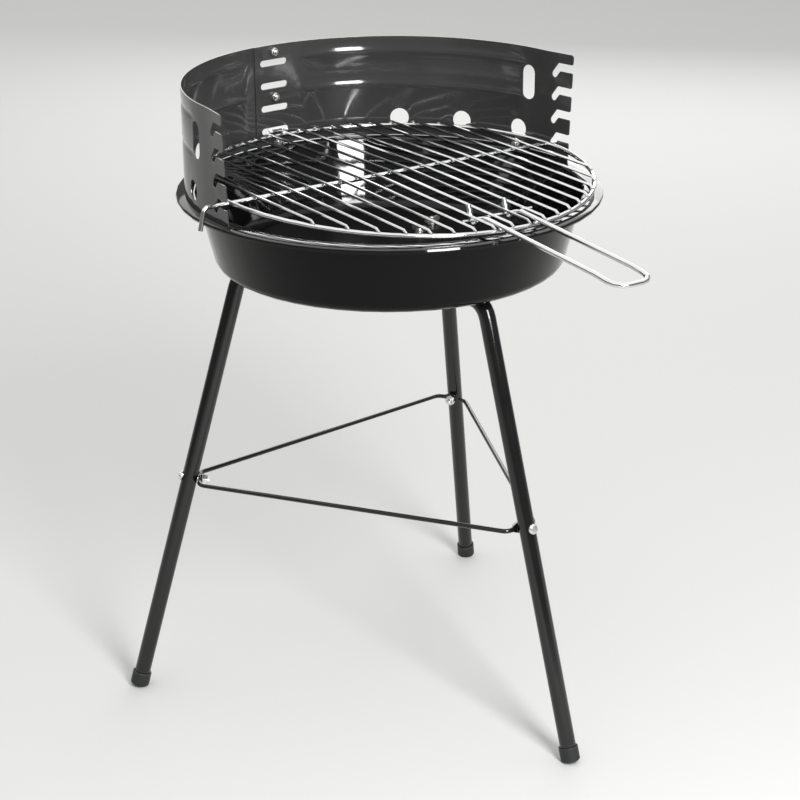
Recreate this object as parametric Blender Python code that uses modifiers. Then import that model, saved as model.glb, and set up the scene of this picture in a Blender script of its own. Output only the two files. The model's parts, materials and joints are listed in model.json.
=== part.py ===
"""Round charcoal grill for Blender 4.5, in metres with +Z up and the lift handle on the -Y side.

An enamelled sheet bowl stands on three tube legs braced by a triangle of rods. A wind shield of two bolted
panels stands on its flange, and a chromed wire grid with a lift handle sits in the shield's lowest notches.
Run it with: blender --background --python part.py
"""

import math

import bmesh
import bpy
from mathutils import Matrix, Vector

MM = 0.001
GAP = 0.3 * MM  # between two pieces that touch
STRAIGHT = math.radians(89.5)  # half the angle at a corner that needs no arc
SMOOTH = math.radians(32)
WIRE_SMOOTH = math.radians(50)
THROUGH = 16 * MM  # the length of a cutter that goes right through a sheet

# Bowl, pressed from sheet
RIM_RADIUS = 180 * MM
FLANGE_TOP = 456 * MM
BOWL_DEPTH = 63.5 * MM
FLOOR_BOTTOM = FLANGE_TOP - BOWL_DEPTH
BOWL_SHEET = 1 * MM
BOWL_SPREAD = 32.4 * MM  # from the wall's foot out to the rim
WALL_FOOT_RADIUS = RIM_RADIUS - BOWL_SPREAD
WALL_TAPER = 0.25  # growth in radius for each unit of height
FLOOR_CORNER = 10 * MM
FLANGE_CORNER = 1.3 * MM
CURL_RADIUS = 1.6 * MM
CURL_TURN = math.radians(235)
CURL_STEPS = 5
BOWL_STEPS = 48

# Wind shield, two panels that lap at the back
SHIELD_CENTRE = Vector((2.5 * MM, -0.8 * MM))
SHIELD_INSET = 6.6 * MM  # from the rim to the middle of the sheet
SHIELD_RADIUS = RIM_RADIUS - SHIELD_INSET
SHIELD_SHEET = 0.8 * MM
SHIELD_HEIGHT = 91 * MM
SHIELD_TOP = FLANGE_TOP + GAP + SHIELD_HEIGHT
FREE_EDGE = math.radians(-7.5)
FLAT_START = math.radians(2.5)  # the rolls leave the free end flat
FREE_LEAN = 0.13  # the free end also leans outwards
LAP_CENTRE = math.radians(92)
LAP_HALF = math.radians(6.9)
PANEL_COLUMN = math.radians(3.2)
BEAD_DROPS = (44 * MM, 13.3 * MM)  # under the shield's top
BEAD_LEVELS = [SHIELD_TOP - drop for drop in BEAD_DROPS]
BEAD_HALF_WIDTH = 4.2 * MM
BEAD_DEPTH = 1.2 * MM  # pressed inwards
BEAD_START = math.radians(13)
BEAD_TO_LAP = math.radians(17.9)  # from the beads' ends to the panel's far end

# Four heights for the grid: notches in the free edges, slots in the lap
HEIGHTS = 4
NOTCH_RISE = 20.7 * MM  # over the flange
NOTCH_TOP = FLANGE_TOP + NOTCH_RISE
TOP_LIP = 8.8 * MM  # from the top notch's upper side to the shield's top
HEIGHT_PITCH = (SHIELD_TOP - TOP_LIP - NOTCH_TOP) / (HEIGHTS - 1)
NOTCH_HEIGHT = 7 * MM
NOTCH_TIP_RADIUS = 3.1 * MM
NOTCH_TIP = Vector((20.4 * MM, -10.2 * MM))  # from the free edge and from the notch's upper side
NOTCH_FALL = Vector((0.62, -0.785)).normalized()
EDGE_CORNER = 2.6 * MM
FINGER_CORNER = 1.6 * MM
LAP_SLOT = Vector((29.3 * MM, 5.7 * MM))
LAP_SLOT_RISE = 13.7 * MM
LAP_SLOT_LEVEL = FLANGE_TOP + LAP_SLOT_RISE
GRIP_SLOT = Vector((14 * MM, 31 * MM))
GRIP_SLOT_DROP = 31.5 * MM
GRIP_SLOT_LEVEL = SHIELD_TOP - GRIP_SLOT_DROP
GRIP_SLOT_ANGLE = math.radians(9.5)
VENT_RADIUS = 8.6 * MM
VENT_RISE = 16 * MM
VENT_LEVEL = FLANGE_TOP + VENT_RISE
VENT_ANGLES = [math.radians(angle) for angle in (13.1, 32.6, 52)]

# Tabs that hold the shield down on the flange
TAB_WIDTH = 12 * MM
TAB_LENGTH = 9 * MM
TAB_CORNER = 3 * MM
TAB_SCREW_INSET = 4.2 * MM  # from the middle of the sheet
TAB_ANGLE = math.radians(13.1)

# Welded wire grid
GRID_CENTRE = Vector((5.2 * MM, -4.2 * MM))
RING_INSET = 7.9 * MM  # from the middle of the shield's sheet
RING_RADIUS = SHIELD_RADIUS - RING_INSET
RING_RISE = 10 * MM
RING_LEVEL = FLANGE_TOP + RING_RISE
RING_TILT = 0.0225  # the lap side sits higher
RING_LEAN = -0.0105  # and so does the left side
RING_SADDLE = 0.0149  # the bars pull the ring's front and back down over the crossbar
RING_WIRE = 2 * MM
BAR_WIRE = 1.25 * MM
BAR_COUNT = 18
BAR_PITCH = 16.7 * MM
BAR_BEND = 3.5 * MM
BAR_OVERHANG = {-1: 0.3 * MM, 1: 3 * MM}  # past the middle of the ring's wire, at the handle and at the lap
BAR_END_SINK = 1.5 * MM  # the bars' ends are pressed down into the ring
TONGUE_SHIFT = -4.5 * MM  # the two middle bars are bent aside to reach their slot
TONGUE_BEND_AT = -3 * MM  # from the middle of the shield's sheet
TONGUE_END = 4.5 * MM
TONGUE_CORNER = 3 * MM
WELD = 0.6 * MM  # how far two welded wires sink into each other
CROSSBAR_LINE = -2.6 * MM
CROSSBAR_SWING = 0.006  # its left end lies nearer to the handle
CROSSBAR_LEAN = -0.008  # and higher, as it isn't pressed home in its notch
CROSSBAR_CLEAR = 1.8 * MM  # between its hooks and the bowl's rim
CROSSBAR_HOOK = 18.5 * MM
CROSSBAR_HOOK_LEAN = 4.5 * MM  # the left hook is bent outwards
CROSSBAR_HOOK_RISE = 0.8 * MM
CROSSBAR_CORNER = 5 * MM
CROSSBAR_RISE = 2.4 * MM
CROSSBAR_STEP_INSET = 7.5 * MM  # from the ring
CROSSBAR_STEP = RING_RADIUS - CROSSBAR_STEP_INSET
CROSSBAR_STEP_LENGTH = 12 * MM

# Lift handle, seen along its own length: "reach" runs outwards from the bowl's axis
HANDLE_TURN = math.radians(-1.35)
HANDLE_WIRE = 2.25 * MM
HANDLE_MIDDLE = 5.2 * MM
HANDLE_WIDTH = 35 * MM
HANDLE_SLOPE = -0.071
HANDLE_LENGTH = 144.5 * MM  # outside the ring
HANDLE_TAIL = 25 * MM
HANDLE_END = RING_RADIUS + HANDLE_LENGTH
HANDLE_STRAIGHT_END = HANDLE_END - HANDLE_TAIL
HANDLE_DROOP = 1.8 * MM
HANDLE_CORNER = 12 * MM
HANDLE_HEEL = 8 * MM  # radius of the bend from its hook to its straight leg
HANDLE_HEEL_RUN = 13.5 * MM  # from the lever wire's middle
HOOK_FLAT = 1.5 * MM  # its hook's lowest part, past the lever wire's middle
HANDLE_DROOP_BEND = 60 * MM
LEVER_WIRE = 1.5 * MM
LEVER_INSET = 28.5 * MM  # from the ring
LEVER_REACH = RING_RADIUS - LEVER_INSET
LEVER_ENDS = (-24.7 * MM, 44.2 * MM)
PRONG_HEIGHT = 10.3 * MM
PRONG_LEAN = Vector((-0.8 * MM, -4 * MM))  # sideways, and towards the grid's middle

# The grid's ends slide up their slanted notches as if they swung on this far axis
PIVOT_REACH = 6.5 * MM  # beyond the ring
PIVOT_RISE = 146 * MM
GRID_PIVOT = Vector((0, RING_RADIUS + PIVOT_REACH, FLANGE_TOP + PIVOT_RISE))

# Legs, bent from round tube
LEG_COUNT = 3
LEGS_CENTRE = Vector((0.8 * MM, 2.5 * MM, 0))
LEG_TURN = math.radians(-88.4)
LEG_TUBE = 7 * MM
LEG_WALL = 1 * MM
LEG_CORNER_INSET = 19.7 * MM  # from the foot of the bowl's wall
LEG_UNDER_BOWL = 70.9 * MM
LEG_CORNER = WALL_FOOT_RADIUS - LEG_CORNER_INSET
LEG_INNER_END = LEG_CORNER - LEG_UNDER_BOWL
LEG_FOOT = Vector((233 * MM, 13.4 * MM, 0))  # the legs lean sideways too, pushed over by the rods
LEG_BEND = 17 * MM
LEG_BOLT_INSETS = (13 * MM, 43 * MM)  # from the tube's inner end
LEG_BOLT_RADII = [LEG_INNER_END + inset for inset in LEG_BOLT_INSETS]
CAP_RADIUS = 8.4 * MM
CAP_LENGTH = 13 * MM
CAP_FLOOR = 2.5 * MM
CAP_END_LEVEL = 1 * MM
CAP_EDGE = 0.5 * MM
CAP_TOE = 1.2 * MM
GROUND_BLOCK = 40 * MM  # cuts the caps' worn flats

# Spreader rods, with flattened ends stacked on each leg's bolt
SPREADER_LEVEL = 200 * MM
ROD_RADIUS = 2 * MM
EYE_HALF_WIDTH = 4.6 * MM
EYE_HALF_THICKNESS = 0.75 * MM
ROD_BEND = 8 * MM
ROD_SIDES = 10

# Fasteners: shaft, head, nut
M5 = {"shaft": 2.4 * MM, "head": 4.4 * MM, "head_height": 2.8 * MM, "nut_flat": 4 * MM, "nut_height": 4 * MM}
M4 = {"shaft": 1.9 * MM, "head": 3.1 * MM, "head_height": 2.2 * MM, "nut_flat": 3.4 * MM, "nut_height": 3.2 * MM}
HOLE_CLEARANCE = 0.3 * MM
THREAD_END = 2.5 * MM  # how far a shaft stands out of its nut
WING_NUT_HEIGHT = 4.4 * MM
WING_RADIUS = 2.9 * MM
WING_REACH = 4.8 * MM
WING_HALF_THICKNESS = 0.7 * MM


def clear_scene():
    for thing in list(bpy.data.objects):
        bpy.data.objects.remove(thing, do_unlink=True)


def new_collection(name):
    made = bpy.data.collections.new(name)
    bpy.context.scene.collection.children.link(made)
    return made


def new_material(name, colour, roughness, metallic=0.0):
    made = bpy.data.materials.new(name)
    made.use_nodes = True
    shader = made.node_tree.nodes["Principled BSDF"]
    shader.inputs["Base Color"].default_value = (*colour, 1.0)
    shader.inputs["Roughness"].default_value = roughness
    shader.inputs["Metallic"].default_value = metallic
    made.diffuse_color = (*colour, 1.0)
    return made


def add_object(name, mesh, material):
    made = bpy.data.objects.new(name, mesh)
    parts.objects.link(made)
    if mesh.materials:
        mesh.materials[0] = material
    else:
        mesh.materials.append(material)
    return made


def add_cutter(name, mesh):
    made = bpy.data.objects.new(name, mesh)
    cutters.objects.link(made)
    made.hide_render = True
    made.display_type = "WIRE"
    return made


def mesh_of(name, shape):
    bmesh.ops.remove_doubles(shape, verts=shape.verts, dist=0.002 * MM)
    bmesh.ops.recalc_face_normals(shape, faces=shape.faces)
    mesh = bpy.data.meshes.new(name)
    shape.to_mesh(mesh)
    shape.free()
    return mesh


def evaluated_mesh(thing):
    bpy.context.view_layer.update()
    graph = bpy.context.evaluated_depsgraph_get()
    return bpy.data.meshes.new_from_object(thing.evaluated_get(graph))


def apply_modifiers(thing, sharp_angle=SMOOTH):
    """Puts the modifiers' result in the mesh, so that its sharp edges can be marked."""
    thing.data = evaluated_mesh(thing)
    thing.modifiers.clear()
    thing.data.name = thing.name
    thing.data.shade_smooth()
    thing.data.set_sharp_from_angle(angle=sharp_angle)
    return thing


def boolean(thing, tool, operation="DIFFERENCE"):
    modifier = thing.modifiers.new(f"{operation.title()} {tool.name}", "BOOLEAN")
    modifier.operation = operation
    modifier.solver = "EXACT"
    modifier.object = tool


def polar(radius, angle, height=0.0, centre=Vector((0, 0))):
    return Vector((centre.x + radius * math.cos(angle), centre.y + radius * math.sin(angle), height))


def frame_matrix(origin, x_axis, y_axis, z_axis):
    turned = Matrix((x_axis, y_axis, z_axis)).transposed().to_4x4()
    return Matrix.Translation(origin) @ turned


def rounded(points, radii, steps):
    """The path through the points, with an arc of that radius at each inner one."""
    path = [Vector(points[0])]
    for before, corner, after, radius in zip(points, points[1:], points[2:], radii):
        corner = Vector(corner)
        back = (Vector(before) - corner).normalized()
        onward = (Vector(after) - corner).normalized()
        half = back.angle(onward) / 2
        if radius == 0 or half > STRAIGHT:
            path.append(corner)
            continue
        middle = corner + (back + onward).normalized() * (radius / math.sin(half))
        inward = (onward - back * onward.dot(back)).normalized()
        for step in range(steps + 1):
            turn = (math.pi - 2 * half) * step / steps
            path.append(middle - back * (radius * math.sin(turn)) - inward * (radius * math.cos(turn)))
    path.append(Vector(points[-1]))
    return path


def rounded_loop(points, radii, steps):
    """The same for a closed outline."""
    looped = [points[-1], *points, points[0]]
    return rounded(looped, radii, steps)[1:-1]


def wire_mesh(name, points, radius, cyclic=False, sides_step=2):
    """A round wire along the points, as a closed mesh."""
    curve = bpy.data.curves.new(name, "CURVE")
    curve.dimensions = "3D"
    curve.bevel_depth = radius
    curve.bevel_resolution = sides_step
    curve.use_fill_caps = not cyclic
    spline = curve.splines.new("POLY")
    spline.points.add(len(points) - 1)
    for control, point in zip(spline.points, points):
        control.co = (*point, 1.0)
    spline.use_cyclic_u = cyclic
    holder = bpy.data.objects.new(name, curve)
    parts.objects.link(holder)
    made = evaluated_mesh(holder)
    bpy.data.objects.remove(holder)
    bpy.data.curves.remove(curve)
    shape = bmesh.new()
    shape.from_mesh(made)
    bpy.data.meshes.remove(made)
    return mesh_of(name, shape)


def joined_mesh(name, meshes):
    """Several meshes that don't touch, as one."""
    shape = bmesh.new()
    for mesh in meshes:
        shape.from_mesh(mesh)
        bpy.data.meshes.remove(mesh)
    return mesh_of(name, shape)


def prism_mesh(name, outline, depth, matrix):
    """A flat outline in the matrix's XY plane, made depth thick about it."""
    shape = bmesh.new()
    base = shape.faces.new([shape.verts.new((*point, -depth / 2)) for point in outline])
    grown = bmesh.ops.extrude_face_region(shape, geom=[base])
    moved = [item for item in grown["geom"] if isinstance(item, bmesh.types.BMVert)]
    bmesh.ops.translate(shape, verts=moved, vec=(0, 0, depth))
    bmesh.ops.transform(shape, verts=shape.verts, matrix=matrix)
    return mesh_of(name, shape)


def circle_outline(radius, sides, centre=Vector((0, 0))):
    turns = [math.tau * (side + 0.5) / sides for side in range(sides)]
    return [centre + Vector((math.cos(turn), math.sin(turn))) * radius for turn in turns]


def slot_outline(size, level):
    """A slot with round ends, centred on the level."""
    radius = min(size) / 2 - 0.01 * MM
    corners = [Vector((x * size.x / 2, level + y * size.y / 2)) for x, y in ((-1, -1), (1, -1), (1, 1), (-1, 1))]
    return rounded_loop(corners, [radius] * 4, 4)


def drill_mesh(name, origin, direction, radius, depth, sides=12):
    """A round cutter about the origin along the direction."""
    turned = direction.to_track_quat("Z", "Y").to_matrix().to_4x4()
    return prism_mesh(name, circle_outline(radius, sides), depth, Matrix.Translation(origin) @ turned)


def lathed(name, profile, steps, material):
    """Turns a profile about Z. It runs from the axis over the top, down the outer side and back to the axis.

    One that ends off the axis makes an open sheet, whose modifiers stay on it for more to follow.
    """
    shape = bmesh.new()
    corners = [shape.verts.new((radius, 0, height)) for radius, height in profile]
    for start, end in zip(corners, corners[1:]):
        shape.edges.new((start, end))
    mesh = bpy.data.meshes.new(name)
    shape.to_mesh(mesh)
    shape.free()
    made = add_object(name, mesh, material)
    screw = made.modifiers.new("Turn the profile", "SCREW")
    screw.angle = math.tau
    screw.steps = steps
    screw.render_steps = steps
    screw.use_merge_vertices = True
    screw.merge_threshold = 0.01 * MM
    screw.use_smooth_shade = True
    if profile[-1][0] == 0:
        apply_modifiers(made)
    return made


def loft_mesh(name, sections):
    """A closed skin over sections of equal count."""
    shape = bmesh.new()
    rings = [[shape.verts.new(point) for point in section] for section in sections]
    for ring, following in zip(rings, rings[1:]):
        for index, vert in enumerate(ring):
            beside = (index + 1) % len(ring)
            shape.faces.new((vert, ring[beside], following[beside], following[index]))
    shape.faces.new(rings[0])
    shape.faces.new(rings[-1])
    return mesh_of(name, shape)


# Bowl


def bowl_profile():
    """The middle of the sheet, from the axis out to the end of the rolled rim."""
    half = BOWL_SHEET / 2
    floor = FLOOR_BOTTOM + half
    flange = FLANGE_TOP - half
    curl_centre = Vector((RIM_RADIUS - half - CURL_RADIUS, flange - CURL_RADIUS))
    corners = [
        Vector((0, floor)),
        Vector((WALL_FOOT_RADIUS, floor)),
        Vector((WALL_FOOT_RADIUS + WALL_TAPER * (flange - floor), flange)),
        Vector((curl_centre.x, flange)),
    ]
    profile = rounded(corners, [FLOOR_CORNER, FLANGE_CORNER + half], 3)
    turns = [CURL_TURN * (step + 1) / CURL_STEPS for step in range(CURL_STEPS)]
    profile += [curl_centre + Vector((math.sin(turn), math.cos(turn))) * CURL_RADIUS for turn in turns]
    return profile


def build_bowl():
    bowl = lathed("bowl", bowl_profile(), BOWL_STEPS, enamel)
    shell = bowl.modifiers.new("Sheet", "SOLIDIFY")
    shell.thickness = BOWL_SHEET
    shell.offset = 0
    shell.use_even_offset = True
    drills = []
    up = Vector((0, 0, 1))
    for leg in range(LEG_COUNT):
        for radius in LEG_BOLT_RADII:
            place = leg_place(leg) @ Vector((radius, 0, FLOOR_BOTTOM))
            drills.append(drill_mesh("drill", place, up, M5["shaft"] + HOLE_CLEARANCE, THROUGH))
    for _, angle, radius in foot_screws():
        place = polar(radius, angle, FLANGE_TOP, SHIELD_CENTRE)
        drills.append(drill_mesh("drill", place, up, M4["shaft"] + HOLE_CLEARANCE, THROUGH / 2))
    boolean(bowl, add_cutter("bowl_bolt_holes", joined_mesh("bowl_bolt_holes", drills)))
    apply_modifiers(bowl)


# Wind shield


def left_radius():
    """The left panel laps outside the right one."""
    return SHIELD_RADIUS + SHIELD_SHEET + GAP


def foot_screws():
    """Name, angle and radius of the screws that hold the shield on the flange."""
    return (
        ("right", TAB_ANGLE, SHIELD_RADIUS - TAB_SCREW_INSET),
        ("lap", LAP_CENTRE, SHIELD_RADIUS - TAB_SCREW_INSET),
        ("left", math.pi - TAB_ANGLE, left_radius() - TAB_SCREW_INSET),
    )


def panel_end(mirrored):
    """The angle of a panel's far end, counted like its own free edge."""
    return LAP_HALF + (math.pi - LAP_CENTRE if mirrored else LAP_CENTRE)


def bead_depth(angle, height, mirrored):
    """How far the pressed beads push the sheet inwards there."""
    if not BEAD_START < angle < panel_end(mirrored) - BEAD_TO_LAP:
        return 0.0
    offs = [abs(height - level) / BEAD_HALF_WIDTH for level in BEAD_LEVELS]
    return BEAD_DEPTH * math.cos(min(*offs, 1) * math.pi / 2) ** 2


def shield_plan(angle, radius, height, mirrored):
    """A point of the sheet, the way outwards there and the way along the sheet from its free edge."""
    bent = max(angle, FLAT_START)
    past = radius * (bent - angle)
    lean = past * FREE_LEAN * (height - FLANGE_TOP) / (SHIELD_TOP - FLANGE_TOP)
    outward = polar(1, bent)
    along = Vector((-outward.y, outward.x, 0))
    point = outward * (radius + lean - bead_depth(angle, height, mirrored)) - along * past
    if mirrored:
        point, outward, along = (Vector((-way.x, way.y, 0)) for way in (point, outward, along))
    return point + Vector((*SHIELD_CENTRE, height)), outward, along


def panel_rows():
    """The heights of the sheet's rows of points: close together only across the beads."""
    rows = [FLANGE_TOP + GAP]
    for level in BEAD_LEVELS:
        rows += [level + BEAD_HALF_WIDTH * part / 2 for part in range(-2, 3)]
    return [*rows, SHIELD_TOP]


def panel_sheet(name, radius, mirrored):
    """The bent blank of one panel. It runs from beyond the free edge to the far end of the lap."""
    rows = panel_rows()
    first = FREE_EDGE - PANEL_COLUMN / 2
    last = panel_end(mirrored)
    columns = round((last - first) / PANEL_COLUMN)
    shape = bmesh.new()
    bmesh.ops.create_grid(shape, x_segments=columns, y_segments=len(rows) - 1, size=0.5)
    for vert in shape.verts:
        angle = first + (last - first) * (vert.co.x + 0.5)
        height = rows[round((vert.co.y + 0.5) * (len(rows) - 1))]
        vert.co = shield_plan(angle, radius, height, mirrored)[0]
    mesh = bpy.data.meshes.new(name)
    shape.to_mesh(mesh)
    shape.free()
    made = add_object(name, mesh, enamel_grey)
    shell = made.modifiers.new("Sheet", "SOLIDIFY")
    shell.thickness = SHIELD_SHEET
    shell.offset = 0
    return made


def shield_matrix(angle, mirrored):
    """A frame on the sheet: X along it away from the free edge, Y up from the ground, Z outwards."""
    point, outward, along = shield_plan(angle, SHIELD_RADIUS, FLANGE_TOP, mirrored)
    return frame_matrix(Vector((point.x, point.y, 0)), along, Vector((0, 0, 1)), outward)


def edge_outline():
    """What the press cuts away at the free edge: the outside, the round corner and the notches."""
    beyond = 12 * MM
    across = Vector((-NOTCH_FALL.y, NOTCH_FALL.x))
    points = [(-beyond, FLANGE_TOP - beyond), (-beyond, SHIELD_TOP + beyond), (EDGE_CORNER * 2, SHIELD_TOP + beyond)]
    points += [(EDGE_CORNER * 2, SHIELD_TOP), (0, SHIELD_TOP)]
    radii = [0, 0, 0, 0, EDGE_CORNER]
    for height in reversed(range(HEIGHTS)):
        top = NOTCH_TOP + height * HEIGHT_PITCH
        tip = Vector((0, top)) + NOTCH_TIP
        sides = [tip + across * NOTCH_TIP_RADIUS * way for way in (1, -1)]
        bottom = top - NOTCH_HEIGHT
        mouths = [
            side - NOTCH_FALL * ((side.y - level) / NOTCH_FALL.y) for side, level in zip(sides, (top, bottom))
        ]
        ends = [side + NOTCH_FALL * NOTCH_TIP_RADIUS for side in sides]
        points += [(0, top), mouths[0], ends[0], ends[1], mouths[1], (0, bottom)]
        round_tip = NOTCH_TIP_RADIUS - 0.01 * MM
        radii += [FINGER_CORNER, FINGER_CORNER, round_tip, round_tip, FINGER_CORNER, FINGER_CORNER]
    points.append((0, FLANGE_TOP - beyond))
    radii.append(0)
    return rounded_loop([Vector(point) for point in points], radii, 3)


def panel_cutters(name, mirrored):
    """All that is cut out of one panel, as one object."""
    pieces = [prism_mesh("edge", edge_outline(), THROUGH, shield_matrix(FREE_EDGE, mirrored))]
    lap = shield_matrix(math.pi - LAP_CENTRE if mirrored else LAP_CENTRE, mirrored)
    for height in range(HEIGHTS):
        slot = slot_outline(LAP_SLOT, LAP_SLOT_LEVEL + height * HEIGHT_PITCH)
        pieces.append(prism_mesh("slot", slot, THROUGH, lap))
    for level in lap_screw_levels():
        hole = circle_outline(M4["shaft"] + HOLE_CLEARANCE, 12, Vector((0, level)))
        pieces.append(prism_mesh("hole", hole, THROUGH, lap))
    grip = shield_matrix(GRIP_SLOT_ANGLE, mirrored)
    pieces.append(prism_mesh("grip", slot_outline(GRIP_SLOT, GRIP_SLOT_LEVEL), THROUGH, grip))
    for angle in VENT_ANGLES:
        vent = circle_outline(VENT_RADIUS, 20, Vector((0, VENT_LEVEL)))
        pieces.append(prism_mesh("vent", vent, THROUGH, shield_matrix(angle, mirrored)))
    return add_cutter(name, joined_mesh(name, pieces))


def lap_screw_levels():
    """One screw over the top slot and one halfway between the second and third."""
    slots = [LAP_SLOT_LEVEL + height * HEIGHT_PITCH for height in range(HEIGHTS)]
    return (slots[1] + slots[2]) / 2, slots[3] + HEIGHT_PITCH / 2 - 0.5 * MM


def tab_mesh(angle, radius):
    """A tab bent inwards at the foot of the sheet."""
    matrix = frame_matrix(
        polar(radius - TAB_LENGTH / 2, angle, FLANGE_TOP + GAP + SHIELD_SHEET / 2, SHIELD_CENTRE),
        polar(1, angle),
        Vector((-math.sin(angle), math.cos(angle), 0)),
        Vector((0, 0, 1)),
    )
    ways = ((-1, -1), (1, -1), (1, 1), (-1, 1))
    corners = [Vector((x * TAB_LENGTH / 2, y * TAB_WIDTH / 2)) for x, y in ways]
    return prism_mesh("tab", rounded_loop(corners, [TAB_CORNER, 0, 0, TAB_CORNER], 3), SHIELD_SHEET, matrix)


def build_panel(name, radius, mirrored, tab_angles):
    panel = panel_sheet(name, radius, mirrored)
    boolean(panel, panel_cutters(f"{name}_cuts", mirrored))
    tabs = add_cutter(f"{name}_tabs", joined_mesh("tabs", [tab_mesh(angle, radius) for angle in tab_angles]))
    boolean(panel, tabs, "UNION")
    drills = []
    for angle in tab_angles:
        place = polar(radius - TAB_SCREW_INSET, angle, FLANGE_TOP, SHIELD_CENTRE)
        drills.append(drill_mesh("drill", place, Vector((0, 0, 1)), M4["shaft"] + HOLE_CLEARANCE, THROUGH / 2))
    boolean(panel, add_cutter(f"{name}_tab_holes", joined_mesh("tab_holes", drills)))
    apply_modifiers(panel)


def build_shield():
    build_panel("wind_shield_right", SHIELD_RADIUS, False, [TAB_ANGLE, LAP_CENTRE])
    build_panel("wind_shield_left", left_radius(), True, [math.pi - TAB_ANGLE])
    inner_face = SHIELD_RADIUS - SHIELD_SHEET / 2
    outer_face = left_radius() + SHIELD_SHEET / 2
    for name, level in zip(("lower", "upper"), lap_screw_levels()):
        outward = polar(1, LAP_CENTRE)
        head = polar(outer_face + GAP, LAP_CENTRE, level, SHIELD_CENTRE)
        span = outer_face - inner_face + 2 * GAP
        place_bolt(f"lap_screw_{name}", M4, head, outward, span)
        place_nut(f"lap_nut_{name}", M4, head - outward * span, -outward, 0)
    for name, angle, radius in foot_screws():
        down = Vector((0, 0, -1))
        head = polar(radius, angle, FLANGE_TOP - BOWL_SHEET - GAP, SHIELD_CENTRE)
        span = BOWL_SHEET + SHIELD_SHEET + 3 * GAP
        place_bolt(f"shield_foot_screw_{name}", M4, head, down, span)
        place_nut(f"shield_foot_nut_{name}", M4, head - down * span, -down, angle)


# Fasteners


def bolt_profile(size, span):
    """A pan-head screw with its head on +Z. Its shaft clamps the span and then the nut."""
    end = -(span + size["nut_height"] + THREAD_END)
    return [
        (0, size["head_height"]),
        (size["head"] * 0.7, size["head_height"] * 0.92),
        (size["head"], size["head_height"] * 0.4),
        (size["head"], 0),
        (size["shaft"], 0),
        (size["shaft"], end + size["shaft"] * 0.3),
        (size["shaft"] * 0.7, end),
        (0, end),
    ]


def place_bolt(name, size, seat, head_way, span):
    """Puts a screw with the underside of its head on the seat."""
    bolt = lathed(name, bolt_profile(size, span), 12, zinc)
    bolt.matrix_world = Matrix.Translation(seat) @ head_way.to_track_quat("Z", "Y").to_matrix().to_4x4()


def nut_mesh(size):
    """A hexagon nut that stands on Z = 0, with its outer face chamfered."""
    corner = size["nut_flat"] / math.cos(math.pi / 6)
    height = size["nut_height"]
    bevel = corner * 0.14
    shape = bmesh.new()
    bmesh.ops.create_cone(
        shape, cap_ends=True, segments=6, radius1=corner, radius2=corner, depth=height,
        matrix=Matrix.Translation((0, 0, height / 2)),
    )
    nut = add_object("nut", mesh_of("nut", shape), zinc)
    reach = corner * 1.02
    profile = [(0, height), (corner - bevel, height), (reach, height - bevel), (reach, 0), (0, 0)]
    chamfer = lathed("chamfer", profile, 12, zinc)
    boolean(nut, chamfer, "INTERSECT")
    bore = drill_mesh("bore", Vector((0, 0, height / 2)), Vector((0, 0, 1)), size["shaft"] + HOLE_CLEARANCE, 3 * height)
    bore = add_cutter("nut_bore", bore)
    boolean(nut, bore)
    apply_modifiers(nut)
    made = nut.data
    for helper in (nut, chamfer, bore):
        bpy.data.objects.remove(helper)
    return made


def place_nut(name, size, seat, way, turn):
    """Puts a nut on the seat, standing out along the way."""
    if size["nut_flat"] not in nut_meshes:
        nut_meshes[size["nut_flat"]] = nut_mesh(size)
    nut = add_object(name, nut_meshes[size["nut_flat"]], zinc)
    turned = way.to_track_quat("Z", "Y").to_matrix().to_4x4() @ Matrix.Rotation(turn, 4, "Z")
    nut.matrix_world = Matrix.Translation(seat) @ turned


def wing_nut_mesh():
    """A wing nut that stands on Z = 0, with its wings along X."""
    base = M5["nut_flat"]
    height = WING_NUT_HEIGHT
    profile = [(0, height), (base * 0.7, height), (base, height * 0.15), (base, 0), (0, 0)]
    body = lathed("wing_nut", profile, 12, zinc)
    wings = []
    for side in (-1, 1):
        matrix = frame_matrix(
            Vector((side * WING_REACH, 0, height)),
            Vector((side, 0, 0)), Vector((0, 0, 1)), Vector((0, -side, 0)),
        )
        tip = circle_outline(WING_RADIUS, 12)
        wings.append(prism_mesh("wing", tip, 2 * WING_HALF_THICKNESS, matrix))
    wings = add_cutter("wing_nut_wings", joined_mesh("wings", wings))
    boolean(body, wings, "UNION")
    bore = drill_mesh("bore", Vector((0, 0, 0)), Vector((0, 0, 1)), M5["shaft"] + HOLE_CLEARANCE, 4 * height)
    bore = add_cutter("wing_nut_bore", bore)
    boolean(body, bore)
    apply_modifiers(body)
    made = body.data
    for helper in (body, wings, bore):
        bpy.data.objects.remove(helper)
    return made


# Grid and handle


def ring_height(along, across):
    """The ring isn't flat: it tilts up to the lap and to the left, and bends over the crossbar."""
    bent = RING_SADDLE * (along**2 - across**2) / RING_RADIUS
    return RING_LEVEL + RING_TILT * along + RING_LEAN * across - bent


def grid_point(across, along, height):
    return Vector((GRID_CENTRE.x + across, GRID_CENTRE.y + along, height))


def crossbar_seat():
    """The crossbar's height where a notch holds it."""
    return NOTCH_TOP + NOTCH_TIP.y - NOTCH_TIP_RADIUS + GAP + RING_WIRE


def crossbar_point(across):
    """A point of the crossbar's straight run, by its distance from the bowl's middle."""
    line = CROSSBAR_LINE + CROSSBAR_SWING * (across - CROSSBAR_STEP)
    return Vector((across, line, crossbar_seat() + CROSSBAR_RISE + CROSSBAR_LEAN * across))


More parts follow.
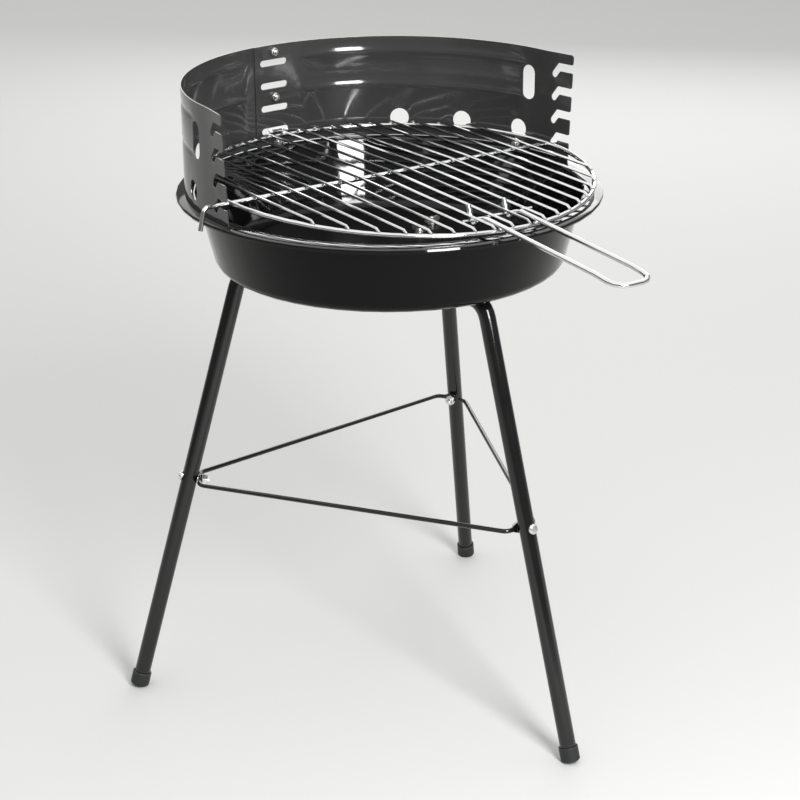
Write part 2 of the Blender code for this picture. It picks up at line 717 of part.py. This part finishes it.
def crossbar_mesh():
    seat = crossbar_seat()
    reach = RIM_RADIUS + CROSSBAR_CLEAR + RING_WIRE
    step_end = CROSSBAR_STEP + CROSSBAR_STEP_LENGTH
    bend = crossbar_point(-reach) + Vector((0, 0, CROSSBAR_HOOK_RISE))
    ends = [
        bend - Vector((CROSSBAR_HOOK_LEAN, 0, CROSSBAR_HOOK)), bend, crossbar_point(-step_end),
        crossbar_point(CROSSBAR_STEP), Vector((step_end, CROSSBAR_LINE, seat)),
        Vector((reach, CROSSBAR_LINE, seat)), Vector((reach, CROSSBAR_LINE, seat - CROSSBAR_HOOK)),
    ]
    path = rounded(ends, [CROSSBAR_CORNER, 0, 0, 0, CROSSBAR_CORNER], 3)
    return wire_mesh("crossbar", path, RING_WIRE)


def bar_end(across, side, inset):
    """A point of the bar at that distance inside the ring. Side is 1 at the lap and -1 at the handle."""
    along = side * (math.sqrt(RING_RADIUS**2 - across**2) - inset)
    return along, ring_height(along, across)


def bar_points(across, side):
    """Half a bar, from the crossbar to its end, bent down onto the ring."""
    stack = RING_WIRE + BAR_WIRE
    near, near_height = bar_end(across, side, BAR_BEND)
    end, end_height = bar_end(across, side, -BAR_OVERHANG[side])
    return [
        crossbar_point(GRID_CENTRE.x + across) + Vector((0, 0, stack - WELD)),
        grid_point(across, near, near_height + stack + WELD),
        grid_point(across, end, end_height + stack - BAR_END_SINK),
    ]


def tongue_points(across):
    """The back half of a middle bar: over the ring and out through the lap slot."""
    points = bar_points(across, 1)[:2]
    ring_end, ring_end_height = bar_end(across, 1, 0)
    points.append(grid_point(across, ring_end, ring_end_height + RING_WIRE + BAR_WIRE - WELD))
    level = LAP_SLOT_LEVEL - LAP_SLOT.y / 2 + GAP + BAR_WIRE
    shield_face = SHIELD_CENTRE.y + SHIELD_RADIUS - GRID_CENTRE.y
    points.append(grid_point(across + TONGUE_SHIFT, shield_face + TONGUE_BEND_AT, level))
    points.append(grid_point(across + TONGUE_SHIFT, shield_face + TONGUE_END, level))
    return points


def build_grid():
    ring = []
    for step in range(BOWL_STEPS):
        turn = math.tau * step / BOWL_STEPS
        across = RING_RADIUS * math.cos(turn)
        along = RING_RADIUS * math.sin(turn)
        ring.append(grid_point(across, along, ring_height(along, across)))
    grid = add_object("grill_grid", wire_mesh("grill_grid", ring, RING_WIRE, cyclic=True), chrome)
    bars = []
    for index in range(BAR_COUNT // 2 - 1):
        for side in (-1, 1):
            across = side * BAR_PITCH * (index + 1.5)
            path = [*reversed(bar_points(across, -1)), *bar_points(across, 1)[1:]]
            bars.append(wire_mesh("bar", path, BAR_WIRE, sides_step=1))
    halves = []
    for across in (-BAR_PITCH / 2, BAR_PITCH / 2):
        halves.append([*reversed(bar_points(across, -1)), *tongue_points(across)[1:]])
    hairpin = [*halves[0], *reversed(halves[1])]
    radii = [0] * (len(hairpin) - 2)
    turn_place = len(halves[0]) - 1
    radii[turn_place - 1 : turn_place + 1] = [TONGUE_CORNER] * 2
    bars.append(wire_mesh("tongue", rounded(hairpin, radii, 3), BAR_WIRE, sides_step=1))
    boolean(grid, add_cutter("grid_crossbar", crossbar_mesh()), "UNION")
    boolean(grid, add_cutter("grid_bars", joined_mesh("grid_bars", bars)), "UNION")
    apply_modifiers(grid, WIRE_SMOOTH)
    return grid


def handle_point(reach, aside, height):
    out = -math.pi / 2 + HANDLE_TURN
    along = polar(reach, out, height)
    sideways = Vector((-math.sin(out), math.cos(out), 0))
    return along + sideways * aside


def handle_level(reach):
    """The height of the handle's straight legs. The left one lies on the ring."""
    ring_reach = RING_RADIUS - GRID_CENTRE.y
    across = handle_point(ring_reach, HANDLE_MIDDLE - HANDLE_WIDTH / 2, 0).x - GRID_CENTRE.x
    ring_level = bar_end(across, -1, 0)[1]
    return ring_level + RING_WIRE + GAP + HANDLE_WIRE + HANDLE_SLOPE * (reach - ring_reach)


def lever_level():
    """The lever wire lies right under the lowest bar that it crosses."""
    (_, start, start_height), (_, end, end_height) = bar_points(1.5 * BAR_PITCH, -1)[:2]
    part = (-LEVER_REACH - start) / (end - start)
    return start_height + part * (end_height - start_height) - BAR_WIRE - GAP - LEVER_WIRE


def handle_side(aside):
    """One leg of the handle, from its prong round under the lever wire and out along the leg."""
    cradle = LEVER_WIRE + GAP + HANDLE_WIRE
    level = lever_level()
    low = level - cradle
    inner = LEVER_REACH - cradle
    heel = LEVER_REACH + HANDLE_HEEL_RUN
    return [
        handle_point(inner + PRONG_LEAN.y, aside + PRONG_LEAN.x, level + PRONG_HEIGHT),
        handle_point(inner, aside, low),
        handle_point(LEVER_REACH + HOOK_FLAT, aside, low),
        handle_point(heel, aside, handle_level(heel)),
        handle_point(HANDLE_STRAIGHT_END, aside, handle_level(HANDLE_STRAIGHT_END)),
        handle_point(HANDLE_END, aside, handle_level(HANDLE_END) - HANDLE_DROOP),
    ]


def build_handle():
    asides = [HANDLE_MIDDLE + side * HANDLE_WIDTH / 2 for side in (-1, 1)]
    path = [*handle_side(asides[0]), *reversed(handle_side(asides[1]))]
    bend = LEVER_WIRE + GAP + HANDLE_WIRE - 0.01 * MM
    side = [bend, bend, HANDLE_HEEL, HANDLE_DROOP_BEND]
    radii = [*side, HANDLE_CORNER, HANDLE_CORNER, *reversed(side)]
    handle = add_object("lift_handle", wire_mesh("lift_handle", rounded(path, radii, 3), HANDLE_WIRE), chrome)
    apply_modifiers(handle, WIRE_SMOOTH)
    ends = [handle_point(LEVER_REACH, aside, lever_level()) for aside in LEVER_ENDS]
    lever = add_object("handle_lever_wire", wire_mesh("handle_lever_wire", ends, LEVER_WIRE), chrome)
    apply_modifiers(lever, WIRE_SMOOTH)
    return handle, lever


def add_pivot(name, place, carried):
    """An empty on a joint's axis, which carries the pieces that turn about it."""
    pivot = bpy.data.objects.new(name, None)
    pivot.empty_display_size = 20 * MM
    parts.objects.link(pivot)
    pivot.location = place
    for thing in carried:
        thing.parent = pivot
        thing.matrix_parent_inverse = Matrix.Translation(-place)
    return pivot


# Legs


def leg_place(leg):
    """Turns a leg drawn along +X into its place."""
    return Matrix.Translation(LEGS_CENTRE) @ Matrix.Rotation(LEG_TURN + math.tau * leg / LEG_COUNT, 4, "Z")


def leg_corner():
    """Where the middle lines of the tube's two straight parts meet, under the bowl."""
    return Vector((LEG_CORNER, 0, FLOOR_BOTTOM - GAP - LEG_TUBE))


def leg_up():
    return (leg_corner() - LEG_FOOT).normalized()


def leg_end():
    """The middle of the foot cap's end."""
    return LEG_FOOT + leg_up() * (CAP_END_LEVEL / leg_up().z)


def spreader_seat():
    """Where the spreader's bolt crosses the tube's middle, and the way square to the tube, outward and up."""
    up = leg_up()
    seat = LEG_FOOT + up * (SPREADER_LEVEL / up.z)
    outward = Vector((1, 0, 0))
    return seat, (outward - up * outward.dot(up)).normalized()


def build_legs():
    """The three legs with all that is bolted to them or pushed on."""
    corner = leg_corner()
    foot = leg_end() + leg_up() * (CAP_FLOOR + GAP)
    path = rounded([Vector((LEG_INNER_END, 0, corner.z)), corner, foot], [LEG_BEND], 5)
    seat, square = spreader_seat()
    drills = [drill_mesh("drill", seat, square, M5["shaft"] + HOLE_CLEARANCE, 4 * LEG_TUBE)]
    for radius in LEG_BOLT_RADII:
        place = Vector((radius, 0, corner.z))
        drills.append(drill_mesh("drill", place, Vector((0, 0, 1)), M5["shaft"] + HOLE_CLEARANCE, 4 * LEG_TUBE))
    drills = add_cutter("leg_bolt_holes", joined_mesh("leg_bolt_holes", drills))
    solid = wire_mesh("leg", path, LEG_TUBE, sides_step=6)
    tube = bmesh.new()
    tube.from_mesh(solid)
    bpy.data.meshes.remove(solid)
    ends = [face for face in tube.faces if len(face.verts) > 4]
    bmesh.ops.delete(tube, geom=ends, context="FACES_ONLY")
    mesh = bpy.data.meshes.new("leg")
    tube.to_mesh(mesh)
    tube.free()
    model = add_object("leg", mesh, black_paint)
    wall = model.modifiers.new("Tube wall", "SOLIDIFY")
    wall.thickness = LEG_WALL
    wall.offset = -1
    boolean(model, drills)
    apply_modifiers(model)
    leg_mesh = model.data
    bpy.data.objects.remove(model)
    for leg, name in enumerate(leg_names):
        turned = leg_place(leg)
        add_object(f"leg_{name}", leg_mesh, black_paint).matrix_world = turned
        build_foot_cap(f"foot_cap_{name}", turned)
        head = seat + square * (LEG_TUBE + GAP)
        eyes = 2 * (2 * EYE_HALF_THICKNESS + GAP)
        span = 2 * LEG_TUBE + GAP + eyes + 2 * GAP
        place_bolt(f"spreader_bolt_{name}", M5, turned @ head, turned.to_3x3() @ square, span)
        place_nut(f"spreader_nut_{name}", M5, turned @ (head - square * span), turned.to_3x3() @ -square, 0)
        for number, radius in enumerate(LEG_BOLT_RADII, start=1):
            build_leg_bolt(f"{name}_{number}", turned @ Vector((radius, 0, 0)), leg + number)


def build_foot_cap(name, turned):
    """A plastic cup over the tube's end, worn flat where it stands."""
    inner = LEG_TUBE + GAP
    profile = [
        (0, CAP_FLOOR), (inner, CAP_FLOOR), (inner, CAP_LENGTH), (CAP_RADIUS - CAP_EDGE, CAP_LENGTH),
        (CAP_RADIUS, CAP_LENGTH - CAP_EDGE), (CAP_RADIUS, CAP_TOE), (CAP_RADIUS - CAP_TOE, 0), (0, 0),
    ]
    cap = lathed(name, profile, 20, cap_plastic)
    upright = leg_up().to_track_quat("Z", "Y").to_matrix().to_4x4()
    cap.data.transform(turned @ Matrix.Translation(leg_end()) @ upright)
    ground = bmesh.new()
    place = turned @ LEG_FOOT - Vector((0, 0, GROUND_BLOCK / 2))
    bmesh.ops.create_cube(ground, size=GROUND_BLOCK, matrix=Matrix.Translation(place))
    boolean(cap, add_cutter(f"{name}_ground", mesh_of("ground", ground)))
    apply_modifiers(cap)


def build_leg_bolt(name, place, turn):
    """A bolt up through the tube and the bowl's floor, with a wing nut inside the bowl."""
    up = Vector((0, 0, 1))
    seat = place + up * (leg_corner().z - LEG_TUBE - GAP)
    floor_top = FLOOR_BOTTOM + BOWL_SHEET + GAP
    span = floor_top - seat.z + WING_NUT_HEIGHT - M5["nut_height"]
    place_bolt(f"leg_bolt_{name}", M5, seat, -up, span)
    nut = add_object(f"wing_nut_{name}", wing_nut, zinc)
    nut.matrix_world = Matrix.Translation(place + up * floor_top) @ Matrix.Rotation(turn, 4, "Z")


# Spreader


def rod_section(centre, wide, thick, half_width, half_thickness):
    """A round section, squarer the flatter it is."""
    square = 1 if half_width < ROD_RADIUS * 1.2 else 0.6
    points = []
    for side in range(ROD_SIDES):
        turn = math.tau * (side + 0.5) / ROD_SIDES
        across = math.copysign(abs(math.cos(turn)) ** square, math.cos(turn))
        through = math.copysign(abs(math.sin(turn)) ** square, math.sin(turn))
        points.append(centre + wide * half_width * across + thick * half_thickness * through)
    return points


def rod_end(leg, stack, way):
    """The sections of a rod's end on that leg, from the tip to past the bend, and the eye's middle."""
    turned = leg_place(leg)
    seat, square = spreader_seat()
    depth = LEG_TUBE + GAP + EYE_HALF_THICKNESS + stack * (2 * EYE_HALF_THICKNESS + GAP)
    eye = turned @ (seat - square * depth)
    thick = turned.to_3x3() @ square
    along = turned.to_3x3() @ Vector((0, way, 0))
    wide = thick.cross(along)
    width = EYE_HALF_WIDTH
    flat = EYE_HALF_THICKNESS
    outline = [(-1.0, 0.3), (-0.85, 0.62), (-0.45, 0.93), (0.0, 1.0), (0.5, 0.95), (1.1, 0.72)]
    sections = [rod_section(eye + along * width * place, wide, thick, width * part, flat) for place, part in outline]
    sections.append(rod_section(eye + along * width * 1.6, wide, thick, ROD_RADIUS * 1.15, flat * 1.5))
    start = eye + along * width * 2.1
    turn = math.radians(60) * way
    for step in range(4):
        part = step / 3
        heading = Matrix.Rotation(turn * part, 3, "Z") @ along
        side = Matrix.Rotation(turn * part, 3, "Z") @ thick
        half = Matrix.Rotation(turn * part / 2, 3, "Z") @ along
        place = start + half * (2 * ROD_BEND * math.sin(abs(turn) * part / 2))
        upright = wide.lerp(Vector((0, 0, wide.z)).normalized(), part).normalized()
        through = heading.cross(upright).normalized()
        if through.dot(side) < 0:
            through = -through
        sections.append(rod_section(place, upright, through, ROD_RADIUS, ROD_RADIUS))
    return sections, eye, thick


def build_spreader():
    """Three equal rods. Each starts next to one leg and ends on top of the next rod's eye."""
    first, first_eye, first_way = rod_end(0, 0, 1)
    last, last_eye, last_way = rod_end(1, 1, -1)
    mirrored = [[section[(ROD_SIDES - 1 - index) % ROD_SIDES] for index in range(ROD_SIDES)] for section in last]
    rod = add_object("rod", loft_mesh("rod", [*first, *matched(first[-1], reversed(mirrored))]), black_paint)
    holes = [
        drill_mesh("drill", eye, way, M5["shaft"] + HOLE_CLEARANCE, 8 * MM)
        for eye, way in ((first_eye, first_way), (last_eye, last_way))
    ]
    holes = add_cutter("rod_eye_holes", joined_mesh("rod_eye_holes", holes))
    boolean(rod, holes)
    apply_modifiers(rod)
    rod_mesh = rod.data
    bpy.data.objects.remove(rod)
    for leg, name in enumerate(leg_names):
        turned = leg_place(leg) @ leg_place(0).inverted()
        add_object(f"spreader_rod_{name}", rod_mesh, black_paint).matrix_world = turned


def matched(reference, sections):
    """Turns each section's numbering so that the skin doesn't twist."""
    made = []
    for section in sections:
        centre = sum(section, Vector()) / len(section)
        base = sum(reference, Vector()) / len(reference)
        turns = range(len(section))
        def twist(shift):
            return sum(
                ((section[(index + shift) % len(section)] - centre) - (point - base)).length
                for index, point in enumerate(reference)
            )
        best = min(turns, key=twist)
        reference = [section[(index + best) % len(section)] for index in turns]
        made.append(reference)
    return made


def centre_on_origin():
    """Moves the grill so that the middle of its box stands over the world's origin."""
    bpy.context.view_layer.update()
    solids = [thing for thing in parts.objects if thing.type == "MESH"]
    corners = [thing.matrix_world @ vertex.co for thing in solids for vertex in thing.data.vertices]
    low = Vector(min(corner[axis] for corner in corners) for axis in range(3))
    high = Vector(max(corner[axis] for corner in corners) for axis in range(3))
    shift = Vector((-(low.x + high.x) / 2, -(low.y + high.y) / 2, 0))
    for thing in [*parts.objects, *cutters.objects]:
        if not thing.parent:
            thing.matrix_world = Matrix.Translation(shift) @ thing.matrix_world


clear_scene()
parts = new_collection("Charcoal grill")
cutters = new_collection("Cutters")
enamel = new_material("Bowl enamel", (0.012, 0.012, 0.013), 0.12)
enamel_grey = new_material("Shield enamel", (0.035, 0.035, 0.037), 0.25)
chrome = new_material("Chromed wire", (0.82, 0.82, 0.82), 0.12, 1.0)
zinc = new_material("Zinc plating", (0.7, 0.7, 0.68), 0.3, 1.0)
black_paint = new_material("Black paint", (0.015, 0.015, 0.016), 0.35)
cap_plastic = new_material("Cap plastic", (0.05, 0.052, 0.055), 0.6)
leg_names = ("front", "right", "left")
nut_meshes = {}

build_bowl()
build_shield()
grid = build_grid()
handle_pieces = build_handle()
handle_pivot = add_pivot("handle_pivot", handle_point(LEVER_REACH, 0, lever_level()), handle_pieces)
grid_pivot = add_pivot("grid_pivot", GRID_PIVOT, [grid, handle_pivot])
wing_nut = wing_nut_mesh()
build_legs()
build_spreader()
centre_on_origin()
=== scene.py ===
"""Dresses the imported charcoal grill: a finish for every piece, a pale floor, lamps and a camera."""

import json
import math

import bpy
from mathutils import Matrix, Vector


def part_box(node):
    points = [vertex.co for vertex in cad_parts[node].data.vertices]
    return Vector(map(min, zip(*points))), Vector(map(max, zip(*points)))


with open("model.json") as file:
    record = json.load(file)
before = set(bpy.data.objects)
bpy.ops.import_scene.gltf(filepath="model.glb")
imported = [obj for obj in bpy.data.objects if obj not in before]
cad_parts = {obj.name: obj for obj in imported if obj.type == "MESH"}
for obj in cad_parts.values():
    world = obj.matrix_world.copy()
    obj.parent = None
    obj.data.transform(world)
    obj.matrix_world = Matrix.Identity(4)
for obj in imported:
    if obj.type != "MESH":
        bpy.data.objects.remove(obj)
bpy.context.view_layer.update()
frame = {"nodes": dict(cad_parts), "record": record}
nodes = frame["nodes"]

MM = 0.001

# Smooth shading

SHEET_ANGLE = math.radians(33)  # a sharper bend than this stays an edge
WIRE_ANGLE = math.radians(52)
WELD_DISTANCE = 0.005 * MM
WIRE_NODES = ("grill_grid", "lift_handle", "handle_lever_wire")


def add_node(tree, kind, inputs=None, **settings):
    """A new node. An input is a value, or another node's socket to link."""
    node = tree.nodes.new(kind)
    for name, value in settings.items():
        setattr(node, name, value)
    for name, value in (inputs or {}).items():
        if isinstance(value, bpy.types.NodeSocket):
            tree.links.new(value, node.inputs[name])
        else:
            node.inputs[name].default_value = value
    return node


def smooth_group(name, angle):
    """Geometry nodes that weld a mesh's split corners and shade it smooth up to an angle."""
    tree = bpy.data.node_groups.new(name, "GeometryNodeTree")
    tree.interface.new_socket("Geometry", in_out="INPUT", socket_type="NodeSocketGeometry")
    tree.interface.new_socket("Geometry", in_out="OUTPUT", socket_type="NodeSocketGeometry")
    source = add_node(tree, "NodeGroupInput")
    welded = add_node(
        tree, "GeometryNodeMergeByDistance", {"Geometry": source.outputs[0], "Distance": WELD_DISTANCE}
    )
    plain = add_node(
        tree, "GeometryNodeRemoveAttribute", {"Geometry": welded.outputs[0], "Name": "custom_normal"}
    )
    faces = add_node(tree, "GeometryNodeSetShadeSmooth", {"Geometry": plain.outputs[0]}, domain="FACE")
    bend = add_node(tree, "GeometryNodeInputMeshEdgeAngle")
    sharp = add_node(
        tree, "FunctionNodeCompare", {"A": bend.outputs["Unsigned Angle"], "B": angle},
        operation="GREATER_THAN",
    )
    edges = add_node(
        tree, "GeometryNodeSetShadeSmooth",
        {"Geometry": faces.outputs[0], "Selection": sharp.outputs[0], "Shade Smooth": False}, domain="EDGE",
    )
    add_node(tree, "NodeGroupOutput", {"Geometry": edges.outputs[0]})
    return tree


sheet_smooth = smooth_group("Sheet smoothing", SHEET_ANGLE)
wire_smooth = smooth_group("Wire smoothing", WIRE_ANGLE)
for name, thing in nodes.items():
    modifier = thing.modifiers.new("Smooth", "NODES")
    modifier.node_group = wire_smooth if name in WIRE_NODES else sheet_smooth

# Finishes

EDGE_ROUND = 0.35 * MM
WEAR_WIDTH = 1.1 * MM

BOWL_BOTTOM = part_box("bowl")[0][2]
BOWL_WALL_START = BOWL_BOTTOM + 1.2 * MM  # from here up to the next, the floor's finish becomes the wall's
BOWL_WALL_FULL = BOWL_BOTTOM + 12 * MM
WALL_SHINE = 0.5
OUTSIDE_SHINE = 0.1
FLOOR_SHINE = 0.12
FLOOR_ROUGHNESS = 0.28
ENAMEL_IOR = 1.6


def new_finish(name):
    """A new material with its node tree, its shader and the position that its noises read."""
    material = bpy.data.materials.new(name)
    material.use_nodes = True
    tree = material.node_tree
    shader = tree.nodes["Principled BSDF"]
    place = add_node(tree, "ShaderNodeTexCoord").outputs["Object"]
    return material, tree, shader, place


def noise(tree, place, scale, detail=3):
    """Cloudy variation from 0 to 1, scale in cells per metre."""
    return add_node(
        tree, "ShaderNodeTexNoise", {"Vector": place, "Scale": scale, "Detail": detail}
    ).outputs["Fac"]


def between(tree, factor, low, high, start=0.35, end=0.65):
    """Turns a factor's middle range into the range from low to high."""
    return add_node(
        tree, "ShaderNodeMapRange",
        {"Value": factor, "From Min": start, "From Max": end, "To Min": low, "To Max": high},
    ).outputs[0]


def mixed(tree, factor, first, second):
    """A blend of two colours by a linked factor. A colour is a tuple, or another node's socket to link."""
    node = add_node(tree, "ShaderNodeMix", {"Factor": factor}, data_type="RGBA")
    colour_inputs = [socket for socket in node.inputs if socket.type == "RGBA"]
    for socket, colour in zip(colour_inputs, (first, second)):
        if isinstance(colour, tuple):
            socket.default_value = (*colour, 1)
        else:
            tree.links.new(colour, socket)
    return next(socket for socket in node.outputs if socket.type == "RGBA")


def combined(tree, operation, first, second):
    """The product, difference, least or greatest of two values."""
    return add_node(tree, "ShaderNodeMath", {0: first, 1: second}, operation=operation).outputs[0]


def edge_mask(tree, place):
    """1 along edges, broken up by noise, and 0 elsewhere."""
    rounded = add_node(tree, "ShaderNodeBevel", {"Radius": WEAR_WIDTH}, samples=6).outputs[0]
    normal = add_node(tree, "ShaderNodeNewGeometry").outputs["Normal"]
    alike = add_node(tree, "ShaderNodeVectorMath", {0: rounded, 1: normal}, operation="DOT_PRODUCT")
    edge = between(tree, alike.outputs["Value"], low=1, high=0, start=0.8, end=0.98)
    patchy = between(tree, noise(tree, place, scale=260), low=0.15, high=1)
    return combined(tree, "MULTIPLY", edge, patchy)


def relief(tree, height, depth):
    """A normal with bumps of that depth, over edges that are rounded by a hair."""
    rounded = add_node(tree, "ShaderNodeBevel", {"Radius": EDGE_ROUND}, samples=4).outputs[0]
    return add_node(
        tree, "ShaderNodeBump", {"Height": height, "Distance": depth, "Normal": rounded}
    ).outputs[0]


def enamel(name, colour, edge_colour, gloss, cells):
    """Fired enamel: glossy, with the faint waves of its flow, thinner along edges. Gloss is its least and
    greatest roughness, and cells are its waves in a metre."""
    material, tree, shader, place = new_finish(name)
    clouds = noise(tree, place, scale=22)
    body = mixed(tree, clouds, colour, tuple(part * 1.25 for part in colour))
    painted = mixed(tree, edge_mask(tree, place), body, edge_colour)
    waves = noise(tree, place, scale=cells, detail=2)
    dust = noise(tree, place, scale=900, detail=2)
    shader.inputs["IOR"].default_value = ENAMEL_IOR
    tree.links.new(painted, shader.inputs["Base Color"])
    tree.links.new(between(tree, dust, *gloss), shader.inputs["Roughness"])
    tree.links.new(relief(tree, waves, depth=0.06 * MM), shader.inputs["Normal"])
    return material


def bowl_enamel():
    """The bowl's enamel, duller outside below its flange and inside on its floor."""
    material = enamel(
        "Bowl enamel", colour=(0.0015, 0.0015, 0.0016), edge_colour=(0.012, 0.012, 0.0115),
        gloss=(0.03, 0.06), cells=60,
    )
    tree = material.node_tree
    shader = tree.nodes["Principled BSDF"]
    normal = add_node(tree, "ShaderNodeNewGeometry").outputs["Normal"]
    place = add_node(tree, "ShaderNodeTexCoord").outputs["Object"]
    upward = add_node(tree, "ShaderNodeSeparateXYZ", {0: normal}).outputs["Z"]
    height = add_node(tree, "ShaderNodeSeparateXYZ", {0: place}).outputs["Z"]
    inside = between(tree, upward, low=0, high=1, start=-0.1, end=0)
    wall = between(tree, height, low=0, high=1, start=BOWL_WALL_START, end=BOWL_WALL_FULL)
    floor = combined(tree, "SUBTRACT", inside, wall)
    side_shine = between(tree, inside, OUTSIDE_SHINE, WALL_SHINE, start=0, end=1)
    depth_shine = between(tree, wall, FLOOR_SHINE, WALL_SHINE, start=0, end=1)
    gloss = shader.inputs["Roughness"].links[0].from_socket
    dull = between(tree, floor, 0, FLOOR_ROUGHNESS, start=0, end=1)
    tree.links.new(combined(tree, "MINIMUM", side_shine, depth_shine), shader.inputs["Specular IOR Level"])
    tree.links.new(combined(tree, "MAXIMUM", gloss, dull), shader.inputs["Roughness"])
    return material


def shield_enamel():
    return enamel(
        "Shield enamel", colour=(0.031, 0.031, 0.032), edge_colour=(0.065, 0.064, 0.062),
        gloss=(0.07, 0.12), cells=45,
    )


def stove_paint():
    """Stove paint on tube and rod: glossy, with a fine grain, rubbed in places and thin along edges."""
    material, tree, shader, place = new_finish("Black stove paint")
    rubbed = noise(tree, place, scale=35, detail=4)
    grain = noise(tree, place, scale=1400, detail=2)
    body = mixed(tree, rubbed, (0.004, 0.004, 0.0042), (0.008, 0.008, 0.0084))
    painted = mixed(tree, edge_mask(tree, place), body, (0.07, 0.068, 0.066))
    tree.links.new(painted, shader.inputs["Base Color"])
    tree.links.new(between(tree, rubbed, low=0.06, high=0.13), shader.inputs["Roughness"])
    tree.links.new(relief(tree, grain, depth=0.015 * MM), shader.inputs["Normal"])
    return material


def chrome_plate():
    """Bright chrome on drawn wire: faint draw marks and duller patches where hands and fat have been."""
    material, tree, shader, place = new_finish("Chrome plate")
    shader.inputs["Metallic"].default_value = 1
    smears = noise(tree, place, scale=55, detail=4)
    marks = noise(tree, place, scale=1500, detail=2)
    tree.links.new(mixed(tree, smears, (0.6, 0.6, 0.61), (0.74, 0.74, 0.74)), shader.inputs["Base Color"])
    tree.links.new(between(tree, smears, low=0.08, high=0.18), shader.inputs["Roughness"])
    tree.links.new(relief(tree, marks, depth=0.02 * MM), shader.inputs["Normal"])
    return material


def zinc_plate():
    """Bright zinc: a patchy grey with a trace of yellow, and brighter rubbed edges."""
    material, tree, shader, place = new_finish("Zinc plate")
    shader.inputs["Metallic"].default_value = 1
    patches = noise(tree, place, scale=300)
    grain = noise(tree, place, scale=2600, detail=2)
    body = mixed(tree, patches, (0.68, 0.68, 0.69), (0.84, 0.83, 0.79))
    tree.links.new(mixed(tree, edge_mask(tree, place), body, (0.9, 0.9, 0.88)), shader.inputs["Base Color"])
    tree.links.new(between(tree, patches, low=0.26, high=0.42), shader.inputs["Roughness"])
    tree.links.new(relief(tree, grain, depth=0.03 * MM), shader.inputs["Normal"])
    return material


def moulded_plastic():
    """Dark grey moulded caps: a fine grain, scuffed pale along edges."""
    material, tree, shader, place = new_finish("Moulded plastic")
    patches = noise(tree, place, scale=150)
    grain = noise(tree, place, scale=3200, detail=2)
    body = mixed(tree, patches, (0.008, 0.0085, 0.009), (0.014, 0.0145, 0.0155))
    tree.links.new(mixed(tree, edge_mask(tree, place), body, (0.09, 0.09, 0.09)), shader.inputs["Base Color"])
    tree.links.new(between(tree, patches, low=0.48, high=0.66), shader.inputs["Roughness"])
    tree.links.new(relief(tree, grain, depth=0.06 * MM), shader.inputs["Normal"])
    return material


finishes = {
    "bowl_enamel": bowl_enamel(),
    "shield_enamel": shield_enamel(),
    "black_paint": stove_paint(),
    "chromed_wire": chrome_plate(),
    "zinc_plating": zinc_plate(),
    "cap_plastic": moulded_plastic(),
}
for part in frame["record"]["subparts"]:
    slots = nodes[part["node"]].data.materials
    finish = finishes[part["material_slot"]]
    if slots:
        slots[0] = finish
    else:
        slots.append(finish)

# Floor, lamps and camera

FLOOR_SIZE = 24
FLOOR_COLOUR = (0.52, 0.52, 0.51)
FLOOR_PAPER_ROUGHNESS = 0.9
WORLD_LIGHT = 0.2
CAMERA_PLACE = Vector((-0.94987, -1.26834, 0.92154))
CAMERA_AIM = Vector((0.54512, 0.75082, -0.37299))
CAMERA_ROLL = -0.0037
CAMERA_LENS = 90.515
SENSOR = 36


def add_floor():
    mesh = bpy.data.meshes.new("floor")
    half = FLOOR_SIZE / 2
    corners = [(-half, -half, 0), (half, -half, 0), (half, half, 0), (-half, half, 0)]
    mesh.from_pydata(corners, [], [(0, 1, 2, 3)])
    floor = bpy.data.objects.new("floor", mesh)
    bpy.context.scene.collection.objects.link(floor)
    material = bpy.data.materials.new("Floor paper")
    material.use_nodes = True
    shader = material.node_tree.nodes["Principled BSDF"]
    shader.inputs["Base Color"].default_value = (*FLOOR_COLOUR, 1)
    shader.inputs["Roughness"].default_value = FLOOR_PAPER_ROUGHNESS
    mesh.materials.append(material)


def add_world():
    """Soft pale light from all round."""
    world = bpy.data.worlds.new("Studio")
    bpy.context.scene.world = world
    world.use_nodes = True
    light = world.node_tree.nodes["Background"]
    light.inputs["Color"].default_value = (1, 1, 1, 1)
    light.inputs["Strength"].default_value = WORLD_LIGHT


def add_lamp(name, place, target, size, power):
    """A softbox of that width and height, facing a point."""
    lamp = bpy.data.lights.new(name, "AREA")
    lamp.shape = "RECTANGLE"
    lamp.size, lamp.size_y = size
    lamp.energy = power
    thing = bpy.data.objects.new(name, lamp)
    way = Vector(target) - Vector(place)
    thing.matrix_world = Matrix.Translation(place) @ way.to_track_quat("-Z", "Y").to_matrix().to_4x4()
    bpy.context.scene.collection.objects.link(thing)


def add_camera():
    """The photograph's camera, solved with the bowl's rim as a circle."""
    data = bpy.data.cameras.new("camera")
    data.sensor_width = SENSOR
    data.lens = CAMERA_LENS
    camera = bpy.data.objects.new("camera", data)
    right = CAMERA_AIM.cross(Vector((0, 0, 1))).normalized()
    up = right.cross(CAMERA_AIM).normalized()
    turn = Matrix((right, up, -CAMERA_AIM.normalized())).transposed() @ Matrix.Rotation(CAMERA_ROLL, 3, "Z")
    camera.matrix_world = Matrix.Translation(CAMERA_PLACE) @ turn.to_4x4()
    bpy.context.scene.collection.objects.link(camera)
    bpy.context.scene.camera = camera


add_floor()
add_world()
add_lamp("front strip", place=(-0.2, -1.27, 1.15), target=(0.07, 0.2, 0.45), size=(0.42, 1), power=34)
add_lamp("overhead softbox", place=(0.5, 2, 2.4), target=(0.5, 2, 0), size=(8, 8), power=225)
add_lamp("back softbox", place=(1.82, 1.77, 1.1), target=(0.1, 0.05, 0.45), size=(2, 1), power=17)
add_camera()
bpy.context.scene.view_settings.view_transform = "Standard"
